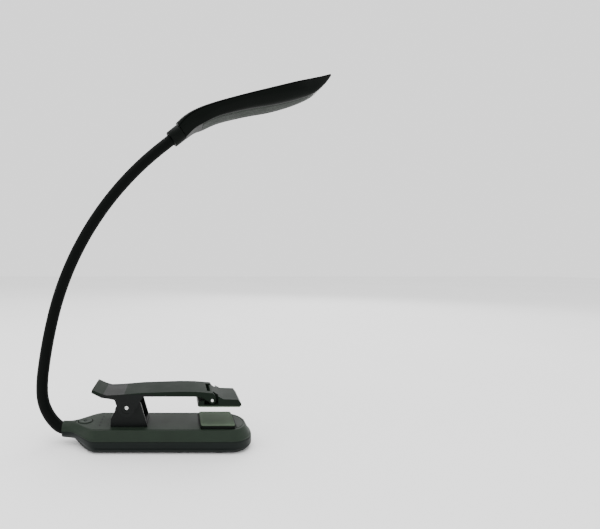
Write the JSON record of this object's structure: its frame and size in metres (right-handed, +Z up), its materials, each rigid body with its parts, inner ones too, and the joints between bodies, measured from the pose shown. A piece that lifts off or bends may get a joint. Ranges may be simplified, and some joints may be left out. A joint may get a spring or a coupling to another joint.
{
  "type": "clip-on reading lamp",
  "caption": "Clip-on reading lamp: flat battery base with a sprung clip on top, a flexible neck and a slim hull-shaped light head.",
  "frame": {"origin": "on the table under the base, at its mid-width and the middle of its full-width stretch", "axes": "+X along the base away from the neck, +Y across it, +Z up"},
  "size_m": [0.1589, 0.0286, 0.1987],
  "materials": {
    "base_plastic": "fine satin moulding, greenish dark grey",
    "base_plastic_dark": "satin, darker lower casing",
    "black_plastic": "satin black clip bracket",
    "head_black": "semi-gloss black",
    "neck_skin": "matte black flexible sleeve",
    "pad_rubber": "soft grey-green silicone",
    "steel": "turned steel",
    "brass": "turned brass",
    "diffuser": "frosted smoke diffuser",
    "board": "solder-masked laminate",
    "cell_wrap": "laminated foil pouch",
    "light_chip": "phosphor-filled chips",
    "indicator": "milky light pipe",
    "strip_aluminium": "milled",
    "lead_red": "thin insulated wire"
  },
  "bodies": {
    "base": {"lower_shell": "base_plastic_dark", "upper_shell": "base_plastic", "base_pad": "pad_rubber", "case_screws": "steel", "circuit_board": "board", "battery_cell": "cell_wrap", "charge_socket": "steel", "button_switch": "steel", "indicator_leds": "light_chip", "indicator_windows": "indicator", "clip_bracket": "black_plastic", "bracket_screws": "steel", "clip_pivot_pin": "steel", "clip_spring": "steel", "neck_root": "neck_skin", "neck_ferrule": "brass", "battery_leads": "lead_red"},
    "button": {"power_button": "base_plastic"},
    "clip": {"clip_arm": "base_plastic", "jaw_pin": "steel"},
    "jaw": {"jaw_foot": "base_plastic", "jaw_pad": "pad_rubber"},
    "neck_1": {"neck_link_1": "neck_skin"},
    "neck_2": {"neck_link_2": "neck_skin"},
    "neck_3": {"neck_link_3": "neck_skin"},
    "neck_4": {"neck_link_4": "neck_skin"},
    "neck_5": {"neck_link_5": "neck_skin"},
    "neck_6": {"neck_link_6": "neck_skin"},
    "neck_7": {"neck_link_7": "neck_skin"},
    "head": {"neck_tip": "neck_skin", "head_housing": "head_black", "head_lid": "head_black", "light_diffuser": "diffuser", "head_collar": "head_black", "light_strip_board": "strip_aluminium", "light_strip_chips": "light_chip"}
  },
  "joints": [
    {"name": "button_press", "type": "slide", "parent": "base", "child": "button", "axis": [0, 0, -1], "range_m": [0, 0.00035], "stiffness_N_per_m": 600},
    {"name": "clip_open", "type": "hinge", "parent": "base", "child": "clip", "pos_m": [-0.0251, 0, 0.0218], "axis": [0, 1, 0], "range_deg": [-10, 11.4], "stiffness_Nm_per_rad": 0.45, "springref_deg": 30, "deforming": ["clip_spring"]},
    {"name": "jaw_swivel", "type": "hinge", "parent": "clip", "child": "jaw", "pos_m": [0.0191, 0, 0.0258], "axis": [0, 1, 0], "range_deg": [-11.4, 10]},
    {"name": "neck_sway_1", "type": "hinge", "parent": "base", "child": "neck_1", "pos_m": [-0.06538, 0, 0.01123], "axis": [0.7386, 0, 0.6742], "range_deg": [-15, 15]},
    {"name": "neck_bend_low_1", "type": "hinge", "parent": "neck_1", "child": "neck_2", "pos_m": [-0.0717, 0, 0.03359], "axis": [0, 1, 0], "range_deg": [-20, 20]},
    {"name": "neck_sway_2", "type": "hinge", "parent": "neck_2", "child": "neck_3", "pos_m": [-0.0682, 0, 0.05731], "axis": [0.981, 0, -0.1942], "range_deg": [-15, 15]},
    {"name": "neck_bend_low_2", "type": "hinge", "parent": "neck_3", "child": "neck_4", "pos_m": [-0.06231, 0, 0.08054], "axis": [0, 1, 0], "range_deg": [-20, 20]},
    {"name": "neck_sway_3", "type": "hinge", "parent": "neck_4", "child": "neck_5", "pos_m": [-0.05326, 0, 0.10273], "axis": [0.8959, 0, -0.4442], "range_deg": [-15, 15]},
    {"name": "neck_bend_high_1", "type": "hinge", "parent": "neck_5", "child": "neck_6", "pos_m": [-0.04109, 0, 0.12337], "axis": [0, 1, 0], "range_deg": [-20, 20]},
    {"name": "neck_sway_4", "type": "hinge", "parent": "neck_6", "child": "neck_7", "pos_m": [-0.02605, 0, 0.14202], "axis": [0.7311, 0, -0.6823], "range_deg": [-15, 15]},
    {"name": "neck_bend_high_2", "type": "hinge", "parent": "neck_7", "child": "head", "pos_m": [-0.00847, 0, 0.15831], "axis": [0, 1, 0], "range_deg": [-20, 20]}
  ],
  "couplings": [
    {"joint": "jaw_swivel", "follows": "clip_open", "ratio": -1},
    {"joint": "neck_sway_2", "follows": "neck_sway_1", "ratio": 1},
    {"joint": "neck_sway_3", "follows": "neck_sway_1", "ratio": 1},
    {"joint": "neck_sway_4", "follows": "neck_sway_1", "ratio": 1},
    {"joint": "neck_bend_low_2", "follows": "neck_bend_low_1", "ratio": 1},
    {"joint": "neck_bend_high_2", "follows": "neck_bend_high_1", "ratio": 1}
  ]
}
